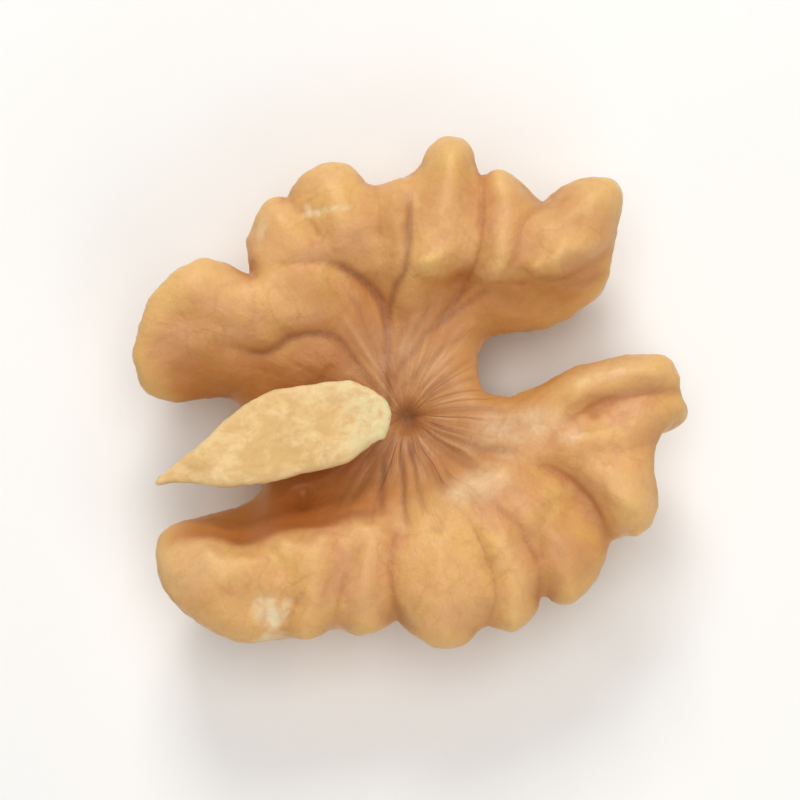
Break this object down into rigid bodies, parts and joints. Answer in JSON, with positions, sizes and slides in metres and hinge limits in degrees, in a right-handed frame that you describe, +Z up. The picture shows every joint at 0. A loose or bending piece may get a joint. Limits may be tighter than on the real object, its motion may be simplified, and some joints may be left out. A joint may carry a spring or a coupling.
{
  "type": "walnut half kernel",
  "caption": "Shelled half kernel of a walnut, lying on its ridged back with its lobed, veined inner face up and a pale radicle reaching out over the notch at one end.",
  "frame": {"origin": "middle of the kernel's box, on the plane of the flattened ridges of the back that it rests on", "axes": "+X along the nut's axis, from the radicle's free tip towards the stalk end; +Y across the two lobes; +Z up, out of the inner face"},
  "size_m": [0.0327, 0.0296, 0.0112],
  "materials": {
    "kernel_skin": "soft waxy satin skin, golden tan, with a cream matt radicle"
  },
  "bodies": {
    "root": {"walnut_half_kernel": "kernel_skin"}
  },
  "joints": []
}
